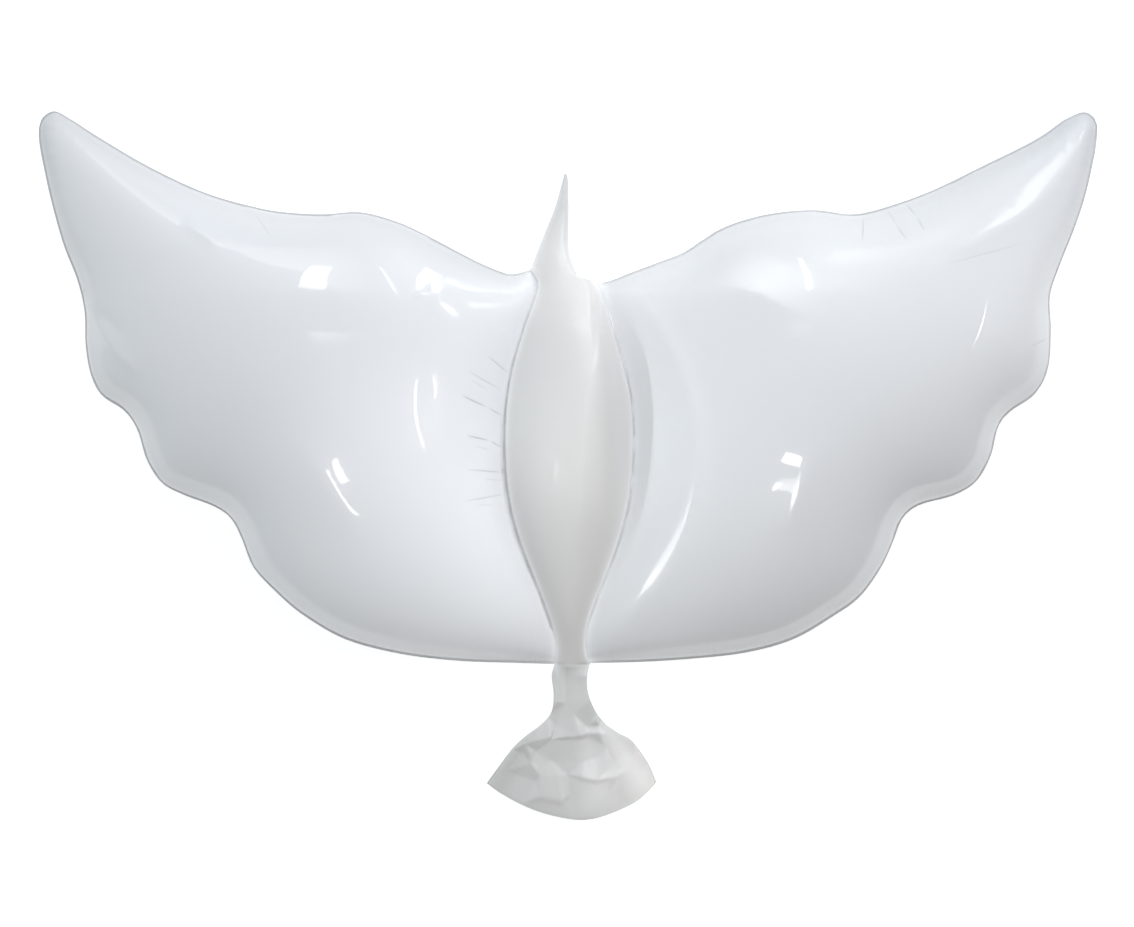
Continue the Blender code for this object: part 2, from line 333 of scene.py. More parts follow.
# %% The body's profiles
BREAST_HEIGHT = 84.0
BACK_PRESS = 8.0
BREAST_POWER = 1.6
BACK_POWER = 2.4
FILM_THICKNESS = 3.0
NECK_Y = -200.0
TAIL_EVEN_FROM = 0.25
FAN_START_Y = -240.0
TAIL_END_Y = -350.0
KEEL_PLACE = [
    (290, 0.6), (225, 0.78), (190, 0.78), (160, 0.74), (90, 0.68), (20, 0.6), (-50, 0.54), (-90, 0.48),
    (-192, 0.42), (-350, 0.5),
]
BREAST_PROFILE = [
    (290, 0.0), (276, 0.06), (258, 0.11), (238, 0.17), (215, 0.26), (190, 0.42), (165, 0.61),
    (130, 0.83), (85, 0.96), (40, 1.0), (0, 0.98), (-40, 0.9), (-80, 0.74), (-120, 0.53), (-150, 0.35),
    (-175, 0.18), (-192, 0.09), (-206, 0.02), (-240, 0.0), (-350, 0.0),
]
BACK_PROFILE = [
    (290, 0.0), (276, 0.07), (258, 0.13), (240, 0.22), (218, 0.34), (196, 0.46), (172, 0.6),
    (130, 0.82), (85, 0.96), (40, 1.0), (0, 1.0), (-40, 0.92), (-80, 0.76), (-120, 0.54), (-150, 0.35),
    (-175, 0.18), (-192, 0.09), (-206, 0.02), (-240, 0.0), (-350, 0.0),
]


def profile(points, y):
    """Read a drawn profile at y."""
    line = smooth_line(points)[::-1]
    return np.interp(y, line[:, 0], line[:, 1])


# %% The body's sections


def body_sheet(left, right, near, far, v, web, evenness):
    """Return a stretch of the body's flat grid, with its heights above and below the wing plane."""
    even = np.linspace(-1, 1, BODY_COLUMN_COUNT + 1)
    side = evenness[:, None] * even + (1 - evenness[:, None]) * np.sin(math.pi / 2 * even)
    y = (along(left, v)[:, 1] + along(right, v)[:, 1]) / 2
    keel = profile(KEEL_PLACE, y)[:, None]
    share = np.where(side < 0, keel + side * keel, keel + side * (1 - keel))
    rows = np.repeat(v[:, None], BODY_COLUMN_COUNT + 1, axis=1)
    flat = flat_sheet(near, far, left, right, share, rows)
    film = np.where(y < NECK_Y, FILM_THICKNESS / 2, 0.0)
    heights = []
    for shape, greatest, power in (
        (BREAST_PROFILE, BREAST_HEIGHT, BREAST_POWER),
        (BACK_PROFILE, LEVEL + BACK_PRESS, BACK_POWER),
    ):
        arch = np.sqrt(np.maximum(1 - np.abs(side) ** power, 0))
        top = np.maximum(profile(shape, y) * greatest, np.maximum(film, web))[:, None]
        heights.append(web[:, None] + (top - web[:, None]) * arch)
    return flat, heights[0], heights[1]


seams = [smooth_line(LEFT_SEAM), smooth_line(RIGHT_SEAM)]
head_edges = [smooth_line(HEAD_LEFT), smooth_line(HEAD_RIGHT)]
tail_edges = [smooth_line(TAIL_LEFT), smooth_line(TAIL_RIGHT)]
neck_line = np.array([seams[0][0], seams[1][0]])
rump_line = np.array([seams[0][-1], seams[1][-1]])
beak_line = np.array([head_edges[0][0], head_edges[1][0]])
chord = crowded(WING_ROW_COUNT, WING_ROW_CROWDING)
head_rows = np.linspace(0, 1, HEAD_ROW_COUNT + 1)
tail_rows = np.linspace(0, 1, TAIL_ROW_COUNT + 1)
no_web = np.zeros(HEAD_ROW_COUNT + 1)
head = body_sheet(*head_edges, beak_line, neck_line, head_rows, no_web, no_web)
body = body_sheet(*seams, neck_line, rump_line, chord, root_web(chord), 0 * chord)
no_web = np.zeros(TAIL_ROW_COUNT + 1)
evenness = np.minimum(tail_rows / TAIL_EVEN_FROM, 1)
tail = body_sheet(*tail_edges, rump_line, smooth_line(TAIL_END), tail_rows, no_web, evenness)
for height in tail[1:]:
    height[-1] = 0.0
print("The neck stands", round(head[1].max(), 1), "mm high, and the breast", round(body[1].max(), 1))

# %% [markdown]
# ## Where the weld line runs
# The weld line is level over the wings and the body. The tail is limp, so it droops and falls into soft
# pleats. Where the balloon touches the surface below, the film is pressed level, with a soft start.

# %% Weld level, tail droop and floor contact
TAIL_DROOP = 34.0
DROOP_POWER = 1.5
FAN_PLEAT = 2.5
FAN_PLEATS = 2.6
PLEAT_POWER = 0.7
TAIL_MIDDLE_X = 4.0
NECK_HALF_WIDTH = 20.0
FAN_HALF_WIDTH = 82.0
FLOOR_SOFTNESS = 0.6


def wing_plane(flat):
    """Return the height of the weld line: level over wings and body, and drooping in the tail."""
    x, y = flat[..., 0], flat[..., 1]
    down = np.clip((NECK_Y - y) / (NECK_Y - TAIL_END_Y), 0, 1)
    fan = np.clip((FAN_START_Y - y) / (FAN_START_Y - TAIL_END_Y), 0, 1)
    half_width = NECK_HALF_WIDTH + (FAN_HALF_WIDTH - NECK_HALF_WIDTH) * fan
    pleat = np.sin(math.pi * FAN_PLEATS * (x - TAIL_MIDDLE_X) / half_width) * fan**PLEAT_POWER
    return LEVEL - TAIL_DROOP * down**DROOP_POWER + FAN_PLEAT * pleat


def pressed(z):
    """Flatten what the floor presses, with a soft start, so that the lowest swell is a level patch."""
    soft = FLOOR_PRESS * FLOOR_SOFTNESS
    blend = (z + soft) ** 2 / (4 * soft)
    return np.where(z <= -soft, 0.0, np.where(z >= soft, z, blend))


# %% [markdown]
# ## Folds
# A flat panel can't become a round pouch without folding somewhere. On this balloon a long fold curls
# from the neck round to the tail beside the right root, short gathers run out from the left root, and
# small ones sit where the outline turns sharply. Each fold is a line of given points, in
# millimetres, that lifts or sinks the film beside it. Its two widths are those to the left and to the
# right of someone who walks along the line.

# %% Fold lines, as points, height, width on the left, width on the right
LEFT_WING_FOLDS = [
    ([(-20, -164), (-41, -130), (-60, -91), (-73, -48), (-80, -6), (-80, 40)], 2.6, 9, 20),
    ([(-57, 88), (-67, 99), (-77, 109)], -0.7, 4, 4),
    ([(-62, 74), (-78, 83), (-96, 94)], -0.8, 4, 4),
    ([(-62, 50), (-77, 58), (-103, 69)], -1.1, 4, 4),
    ([(-62, 17), (-76, 26), (-99, 31)], -1.1, 4, 4),
    ([(-62, -5), (-80, -4), (-99, -2)], -0.9, 4, 4),
    ([(-61, -25), (-80, -28), (-101, -33)], -0.8, 4, 4),
    ([(-145, 166), (-138, 184), (-129, 202)], 2.0, 6, 4),
    ([(-128, 160), (-119, 180), (-112, 200)], 1.6, 5, 5),
    ([(-112, 182), (-84, 178), (-58, 181), (-40, 184)], 1.8, 7, 10),
    ([(-474, 169), (-460, 140), (-440, 113), (-415, 91)], 2.2, 8, 5),
    ([(-466, 152), (-450, 146), (-430, 125)], -1.4, 5, 5),
    ([(-371, 238), (-355, 228), (-337, 214)], 1.5, 8, 6),
    ([(-125, 140), (-122, 66), (-126, 10)], 0.8, 10, 6),
    ([(-266, 34), (-236, -10), (-203, -66)], 1.2, 12, 12),
    ([(-300, 262), (-296, 240), (-288, 215)], -0.8, 6, 6),
]
RIGHT_WING_FOLDS = [
    (
        [
            (46, 177), (68, 164), (87, 139), (110, 96), (124, 52), (127, 12), (121, -42), (106, -86),
            (83, -122), (55, -154), (33, -172),
        ],
        3.2, 9, 26,
    ),
    ([(513, 343), (485, 292), (454, 255), (385, 214), (306, 176)], 2.6, 12, 16),
    ([(475, 127), (460, 119), (446, 113)], 1.6, 5, 5),
    ([(289, 248), (288, 234), (285, 218)], -0.8, 4, 4),
    ([(311, 255), (318, 238), (327, 219)], -0.8, 4, 4),
    ([(331, 260), (338, 247), (345, 232)], -0.7, 4, 4),
    ([(240, 30), (224, -20), (207, -66)], 1.3, 12, 12),
    ([(150, 226), (164, 190), (200, 160), (246, 140)], 1.4, 12, 20),
]
BODY_FOLDS = [
    ([(31, 181), (30, 155), (27, 120), (24, 92)], -1.8, 2, 10),
    ([(18, 92), (17, 40), (15, -32), (9, -110), (5, -160)], 1.2, 3, 12),
    ([(-22, 178), (-30, 140), (-38, 90)], 0.8, 6, 5),
]
FOLD_POWER = 1.4


def folds(flat, lines):
    """Return how far the folds lift the film at each point."""
    lift = np.zeros(flat.shape[:-1])
    for points, height, left_width, right_width in lines:
        gap, run, side = nearest(flat, smooth_line(points))
        width = np.where(side > 0, left_width, right_width)
        fade = np.sqrt(np.sin(math.pi * np.clip(run / run.max(), 0, 1)))
        lift += height * fade * np.exp(-((gap / width) ** FOLD_POWER))
    return lift


# %% [markdown]
# ## Puckers and slack
# The weld shrinks the outline a little, so the film beside it gathers into short puckers that fade
# inwards. The middle of a panel isn't perfectly even either: it carries broad, very shallow waves.

# %% Puckers beside the weld and slack in the panels
PUCKER_DEPTH = 0.25
PUCKER_LENGTH = 15.0
PUCKER_REACH = 12.0
PUCKER_DRIFTS = [(37, 2.2), (11.3, 1.3)]
SLACK_WAVES = [(150.0, 1.3), (62.0, 0.45)]


def puckers(gap, run):
    """Return short waves across the weld line that fade with the distance from it."""
    phase = 2 * math.pi * run / PUCKER_LENGTH
    for length, drift in PUCKER_DRIFTS:
        phase = phase + drift * np.sin(run / length)
    start = np.clip((gap - FLANGE_WIDTH) / PUCKER_REACH, 0, 1)
    return PUCKER_DEPTH * np.sin(phase) * start * np.exp(1 - gap / PUCKER_REACH)


def slack(flat, gap):
    """Return broad, shallow waves that stay away from the weld."""
    waves = np.zeros(len(gap.ravel()))
    for length, depth in SLACK_WAVES:
        spots = flat.reshape(-1, 2) / length
        waves += depth * np.array([noise.noise(Vector((x, y, depth))) for x, y in spots])
    return waves.reshape(gap.shape) * np.clip(gap / SLACK_WAVES[1][0], 0, 1)


# %% [markdown]
# ## The crumpled tail
# No gas holds the tail open, so its film is crumpled into flat facets with sharp creases between them.
# The corners of the facets are given, each with how far it stands off the film's plane, and a
# triangulation joins them. The right corner of the fan is folded down, and the neck has one lengthwise
# fold.

# %% Corners of the tail's facets, in millimetres
CRUMPLE_DEPTH = 2.0
CRUMPLE_START_Y = -193.0
CRUMPLE_FADE = 12.0
TAIL_CORNERS = [
    (-120, -180, 0), (120, -180, 0), (-120, -370, 0), (120, -370, 0), (-40, -215, 0), (50, -215, 0),
    (-16, -195, 1.2), (-11, -196, 1.6), (-2, -197, -0.4), (20, -196, 3.2), (-16, -230, 1.0),
    (-12, -231, 1.6), (-2, -232, -0.4), (23, -228, 2.8), (-20, -243, 0.2), (6, -243, 0.2),
    (28, -243, 0.4), (-13, -255, -1.4), (18, -255, -1.4), (-17, -265, 1.8), (14, -264, 2.2),
    (-16, -268, -0.4), (15, -267, -0.6), (29, -249, 1.8), (31, -254, -0.6), (20, -262, 0.2),
    (32, -262, 1.8), (34, -270, 0.2), (29, -270, -0.6), (37, -262, 0.2), (-42, -272, 1.6),
    (-38, -281, 2.0), (-36, -292, 1.2), (-45, -280, -0.2), (-32, -280, -0.4), (-32, -292, 0),
    (-17, -289, -1.4), (-27, -304, 0.6), (-27, -326, 2.2), (-6, -330, 2.4), (-9, -305, 0.8),
    (-27, -331, 0.2), (-6, -335, 0.2), (0, -304, -1.2), (2, -324, -0.6), (-32, -310, -0.4),
    (16, -290, -1.2), (29, -286, -1.0), (15, -306, 1.8), (28, -309, 2.0), (16, -310, 0), (29, -313, 0),
    (38, -275, -0.6), (36, -290, 1.0), (44, -290, -1.2), (40, -298, -0.4), (48, -306, 2.0),
    (50, -297, 0), (66, -272, 0.6), (66, -284, 1.0), (61, -297, 1.2), (52, -311, 1.2), (42, -322, 1.0),
    (88, -312, -3), (79, -293, -1.2), (79, -322, -2.4), (64, -334, -1.5), (46, -342, -0.8),
    (10, -350, -0.5), (-18, -345, 0.4), (-46, -334, 0.2), (-66, -323, 0.2), (-80, -312, 0.2),
    (-56, -279, 0.2), (-60, -300, -0.4),
]


def crumple(flat):
    """Return how far the tail's flat facets stand off its plane."""
    corners = [Vector(corner[:2]) for corner in TAIL_CORNERS]
    spots, edges, faces, origins = delaunay_2d_cdt(corners, [], [], 0, 1e-5)[:4]
    height = np.array([TAIL_CORNERS[origin[0]][2] for origin in origins])
    points = flat.reshape(-1, 2)
    lift = np.zeros(len(points))
    for face in faces:
        a, b, c = (np.array(spots[corner]) for corner in face)
        shares = np.linalg.solve(np.column_stack([b - a, c - a]), (points - a).T)
        weights = np.vstack([1 - shares.sum(axis=0), shares])
        inside = weights.min(axis=0) > -1e-6
        lift[inside] = (height[list(face)] @ weights)[inside]
    fade = np.clip((CRUMPLE_START_Y - points[:, 1]) / CRUMPLE_FADE, 0, 1)
    return CRUMPLE_DEPTH * (lift * fade).reshape(flat.shape[:-1])


print("The tail's film has", len(TAIL_CORNERS), "crumple corners")

# %% [markdown]
# ## Laying the sheets out
# Each sheet starts as a grid primitive with as many cells as it needs, and its vertices are then laid
# where the film is. The upper sheets carry the folds, and the lower ones are plainer, because the
# surface below smooths them. Five numbers go with every vertex for the finish: its distance to the
# nearest weld, how far along that weld it is, its distance to the seams at the wing roots, whether it
# is on the upper side, and whether it is on the panel that runs from the head over the breast to the
# tail.

# %% Lay one sheet out as a grid
MM = 0.001


def deselect_everything():
    """Leave no object selected, so that an operator only acts on what comes next."""
    for other in bpy.context.selected_objects:
        other.select_set(False)


def lay_sheet(name, flat, z, numbers):
    """Add a grid with the sheet's cells, lay its vertices on the sheet and note numbers at each one."""
    rows, columns = z.shape
    deselect_everything()
    bpy.ops.mesh.primitive_grid_add(x_subdivisions=columns - 1, y_subdivisions=rows - 1, size=1)
    piece = bpy.context.active_object
    piece.name = name
    place = np.empty(len(piece.data.vertices) * 3)
    piece.data.vertices.foreach_get("co", place)
    place = place.reshape(-1, 3)
    column = np.rint((place[:, 0] + 0.5) * (columns - 1)).astype(int)
    row = np.rint((0.5 - place[:, 1]) * (rows - 1)).astype(int)
    place[:, :2] = flat[row, column] * MM
    place[:, 2] = z[row, column] * MM
    piece.data.vertices.foreach_set("co", place.ravel())
    for label, values in numbers.items():
        numbers_there = piece.data.attributes.new(label, "FLOAT", "POINT").data
        numbers_there.foreach_set("value", values[row, column])
    return piece


# %% Lay all the sheets out
BREAST_FADE = 4.0
FOLD_CLEARANCE = 10
SEAM_CLEARANCE = 6


def two_sheets(name, flat, above, below, gap, run, seam_gap, relief):
    """Lay a part of the balloon out as an upper and a lower sheet."""
    plane = wing_plane(flat)
    if name == "tail":
        plane = plane + crumple(flat)
    breast = np.zeros(gap.shape) if name.endswith("wing") else np.clip(gap / BREAST_FADE, 0, 1)
    numbers = {"weld_gap": gap * MM, "weld_run": run * MM, "seam_gap": seam_gap * MM, "breast": breast}
    sides = {"_upper": (plane + above + relief, 1.0), "_lower": (pressed(plane - below), 0.0)}
    laid = []
    for side, (height, upper) in sides.items():
        numbers["upper"] = np.full(gap.shape, upper)
        laid.append(lay_sheet(name + side, flat, height, numbers))
    return laid


sheets = []
for name, flat, half, gap, run, lines, seam in (
    ("left_wing", left_flat, left_half, left_gap, left_run, LEFT_WING_FOLDS, seams[0]),
    ("right_wing", right_flat, right_half, right_gap, right_run, RIGHT_WING_FOLDS, seams[1]),
):
    seam_gap = nearest(flat, seam)[0]
    clear = np.clip((gap - FLANGE_WIDTH) / FOLD_CLEARANCE, 0, 1)
    clear = clear * np.clip(seam_gap / SEAM_CLEARANCE, 0, 1)
    waves = puckers(gap, run)
    relief = (folds(flat, lines) + slack(flat, np.minimum(gap, seam_gap))) * clear + waves
    order = slice(None, None, -1) if name == "left_wing" else slice(None)
    below = np.where(half > FLANGE_THICKNESS, half + waves, half)
    parts = (flat, half, below, np.minimum(gap, seam_gap), run, seam_gap, relief)
    sheets += two_sheets(name, *(part[:, order] for part in parts))
for name, (flat, above, below), edges in (
    ("head", head, head_edges),
    ("body", body, seams),
    ("tail", tail, [*tail_edges, smooth_line(TAIL_END)]),
):
    measured = [nearest(flat, edge) for edge in edges]
    gap = np.min([found[0] for found in measured], axis=0)
    run = measured[0][1]
    relief = np.zeros(gap.shape)
    if name == "body":
        relief = folds(flat, BODY_FOLDS) * np.clip(gap / SEAM_CLEARANCE, 0, 1)
    seam_gap = np.minimum(nearest(flat, seams[0])[0], nearest(flat, seams[1])[0])
    sheets += two_sheets(name, flat, above, below, gap, run, seam_gap, relief)
print("The film is laid out in", len(sheets), "sheets")

# %% [markdown]
# ## Welding the sheets
# Joined sheets still have double vertices along every weld. Merging them by distance closes the
# envelope, and then the normals can be made to point outwards all over. The head and the breast are one
# panel on the real balloon, with no seam at the neck, so the vertices there are smoothed.

# %% Weld the sheets into one envelope
WELD_DISTANCE = 0.02 * MM


def weld(pieces, name):
    """Join the pieces into one closed mesh with its faces pointing outwards."""
    deselect_everything()
    for piece in pieces:
        piece.select_set(True)
    bpy.context.view_layer.objects.active = pieces[0]
    bpy.ops.object.join()
    bpy.ops.object.mode_set(mode="EDIT")
    bpy.ops.mesh.select_all(action="SELECT")
    bpy.ops.mesh.remove_doubles(threshold=WELD_DISTANCE)
    bpy.ops.mesh.dissolve_degenerate(threshold=WELD_DISTANCE / 2)
    bpy.ops.mesh.normals_make_consistent(inside=False)
    bpy.ops.object.mode_set(mode="OBJECT")
    joined = bpy.context.active_object
    joined.name = name
    joined.data.name = name
    return joined


# %% Smooth the join between head and breast
NECK_JOIN = (0.172, 0.212)
NECK_WELD_GAP = 0.004
NECK_SMOOTHINGS = 30


def vertex_numbers(piece, label):
    """Return one of the numbers that were noted at every vertex."""
    values = np.empty(len(piece.data.vertices), dtype=np.float32)
    piece.data.attributes[label].data.foreach_get("value", values)
    return values


def soften_neck(piece):
    """Smooth the upper side where the head's sheet meets the breast's, clear of the welds."""
    bpy.ops.object.mode_set(mode="EDIT")
    bpy.ops.mesh.select_mode(type="VERT")
    bpy.ops.mesh.select_all(action="DESELECT")
    bpy.ops.object.mode_set(mode="OBJECT")
    upper, gap = (vertex_numbers(piece, label) for label in ("upper", "weld_gap"))
    for vertex in piece.data.vertices:
        level = NECK_JOIN[0] < vertex.co.y < NECK_JOIN[1]
        vertex.select = bool(level and upper[vertex.index] > 0.5 and gap[vertex.index] > NECK_WELD_GAP)
    bpy.ops.object.mode_set(mode="EDIT")
    bpy.ops.mesh.vertices_smooth(factor=0.5, repeat=NECK_SMOOTHINGS)
    bpy.ops.object.mode_set(mode="OBJECT")


film = weld(sheets, "film_envelope")
soften_neck(film)
spots = np.empty(len(film.data.vertices) * 3)
film.data.vertices.foreach_get("co", spots)
spots = spots.reshape(-1, 3)
middle = (spots.min(axis=0) + spots.max(axis=0)) / 2
spots[:, :2] -= middle[:2]
film.data.vertices.foreach_set("co", spots.ravel())
film.data.shade_smooth()
print("The envelope has", len(film.data.vertices), "vertices and", len(film.data.polygons), "faces")

# %% [markdown]
# ## Shader maths in plain Python
# A procedural finish is a small sum of noises and distances. The class below wraps a node's socket, so
# that such sums can be written with the usual signs, and each sign adds its Math node.

# %% Sockets that can be added and multiplied


class Signal:
    """A number or a vector that changes over the surface."""

    def __init__(self, tree, socket):
        self.tree = tree
        self.socket = socket

    def node(self, kind, settings=None, **values):
        """Add a node, change its settings, then fill its sockets with values or links."""
        made = self.tree.nodes.new(kind)
        for key, setting in (settings or {}).items():
            setattr(made, key, setting)
        for key, value in values.items():
            label = int(key[1:]) if key[1:].isdigit() else key.replace("_", " ")
            slot = made.inputs[label]
            if isinstance(value, Signal):
                self.tree.links.new(value.socket, slot)
            else:
                slot.default_value = value
        return made

    def math(self, operation, *others):
        """Add a Math node that works on this signal and the others."""
        values = {f"_{place}": value for place, value in enumerate((self, *others))}
        made = self.node("ShaderNodeMath", {"operation": operation}, **values)
        return Signal(self.tree, made.outputs[0])

    def vector(self, operation, result="Vector", **values):
        """Add a Vector Math node that works on this signal and the values."""
        made = self.node("ShaderNodeVectorMath", {"operation": operation}, _0=self, **values)
        return Signal(self.tree, made.outputs[result])

    def __add__(self, other):
        return self.math("ADD", other)

    def __sub__(self, other):
        return self.math("SUBTRACT", other)

    def __rsub__(self, other):
        return self.math("MULTIPLY", -1.0).math("ADD", other)

    def __mul__(self, other):
        return self.math("MULTIPLY", other)

    __radd__ = __add__
    __rmul__ = __mul__


# %% Numbers from the mesh, soft bands and mixed colours


def attribute(tree, name):
    """Return a number that was noted at every vertex."""
    node = tree.nodes.new("ShaderNodeAttribute")
    node.attribute_name = name
    return Signal(tree, node.outputs["Fac"])


def close_to(distance, width):
    """Return 1 where a distance is 0, which falls softly to 0 beyond a width."""
    return (distance * distance * (-1 / width**2)).math("EXPONENT")


def mix(share, first, second):
    """Return the first colour where the share is 0 and the second where it is 1."""
    made = share.node("ShaderNodeMix", {"data_type": "RGBA"}, _0=share, _6=first, _7=second)
    return Signal(share.tree, made.outputs[2])


# %% [markdown]
# ## Fine creases
# Thin film takes creases far narrower than the mesh's cells, and each is a hair-thin line. A crease is
# a straight line on the upper side here: the finish measures how far a point is from it, sinks the
# film in a narrow band that fades at both ends, and greys that band as painted shade. The broad hollow
# round a crease is in the mesh already.

# %% Crease lines, in millimetres, with their strength
CREASES = [
    ((-57, 91), (-79, 109), 0.7), ((-65, 75), (-97, 93), 0.55), ((-77, 74), (-95, 85), 0.3),
    ((-64, 50), (-78, 58), 0.75), ((-78, 58), (-104, 70), 1.0), ((-64, 19), (-76, 26), 0.75),
    ((-76, 26), (-99, 31), 1.0), ((-75, 16), (-90, 21), 0.3), ((-62, -5), (-99, -2), 0.7),
    ((-62, -13), (-83, -11), 0.3), ((-61, -26), (-101, -33), 0.6), ((-72, -36), (-90, -37), 0.3),
    ((289, 247), (285, 218), 0.6), ((311, 255), (320, 234), 0.4), ((319, 236), (328, 220), 0.5),
    ((330, 259), (339, 244), 0.6), ((339, 244), (346, 229), 0.5), ((-476, 168), (-472, 176), 0.9),
    ((-306, 248), (-288, 224), 0.3), ((444, 218), (365, 196), 0.3), ((470, 127), (449, 117), 0.5),
]
CREASE_WIDTH = 0.0007
CREASE_DEPTH = 0.0005


def creases(place):
    """Return how deep in a crease each point of the upper side lies, from 0 to 1."""
    flat_place = place.vector("MULTIPLY", _1=(1.0, 1.0, 0.0))
    total = None
    for start, end, strength in CREASES:
        start, end = Vector((*start, 0)) * MM, Vector((*end, 0)) * MM
        way, length = (end - start).normalized(), (end - start).length
        offset = flat_place.vector("SUBTRACT", _1=start)
        run = offset.vector("DOT_PRODUCT", "Value", _1=way).math("MAXIMUM", 0.0).math("MINIMUM", length)
        nearest_spot = run.node("ShaderNodeVectorMath", {"operation": "SCALE"}, _0=way, Scale=run)
        gap = offset.vector("DISTANCE", "Value", _1=Signal(place.tree, nearest_spot.outputs["Vector"]))
        fade = run * (length - run) * (4 * strength / length**2)
        depth = close_to(gap, CREASE_WIDTH) * fade
        total = depth if total is None else total + depth
    return total


# %% [markdown]
# ## The white film
# The film is white plastic with a clear, hard gloss. It reflects lamps sharply, so it has a clear coat
# over a softer white. Its whiteness isn't quite even: it leans to blue where the print is thick. The
# breast panel is painted greyer, as painted shade that darkens its brightly lit keel, and the tail's
# film, which nothing stretches, is duller and painted greyer too, as painted shade, since no swollen
# pouch gathers light inside it. Along a weld both layers are pressed into one, which greys them a
# little, and hair-fine puckers run into the film beside it. The wings' outer rims are less glossy and
# painted greyer, as painted shade where the film turns away. A faint painted glow lights the grooves
# where the seams pinch the wing roots, as painted light for what would shine through the thin film.

# %% Make the film's finish
CLOUD_SCALE, CLOUD_HEIGHT = 3.0, 0.0006
SPECK_SCALE, SPECK_HEIGHT = 45.0, 0.00005
PUCKER_SCALE, PUCKER_HEIGHT, PUCKER_FADE = 260.0, 0.0006, 160.0
COOL_WHITE = (0.82, 0.845, 0.88, 1.0)
WARM_WHITE = (0.81, 0.815, 0.81, 1.0)
# Painted shade: the breast panel is greyer, to darken its brightly lit keel.
BREAST_PAINTED_SHADE = (0.70, 0.695, 0.68, 1.0)
# The grey of the pressed welds, also used for the painted shade on the rims and in the creases.
WELD_AND_SHADE_GREY = (0.5, 0.51, 0.52, 1.0)
# Painted shade: the tail's film is greyer.
TAIL_PAINTED_SHADE = (0.745, 0.745, 0.73, 1.0)
WELD_LINE_WIDTH = 0.0010
WELD_LINE_SHADE = 0.25
# Painted shade in the creases.
CREASE_PAINTED_SHADE = 0.8
SLACK_START = 0.19
SLACK_FADE = 0.04
# Painted light: the glow in the seam grooves.
PAINTED_SEAM_GLOW = 0.11
PAINTED_SEAM_GLOW_WIDTH = 0.005
RIM_WIDTH = 0.011
# Painted shade on the wings' outer rims.
RIM_PAINTED_SHADE = 0.4
ROUGHNESS, SPECK_ROUGHNESS, SLACK_ROUGHNESS = 0.26, 0.1, 0.08
COAT_ROUGHNESS = 0.02
SLACK_COAT_LOSS, WELD_COAT_LOSS, RIM_COAT_LOSS = 0.35, 0.5, 0.9


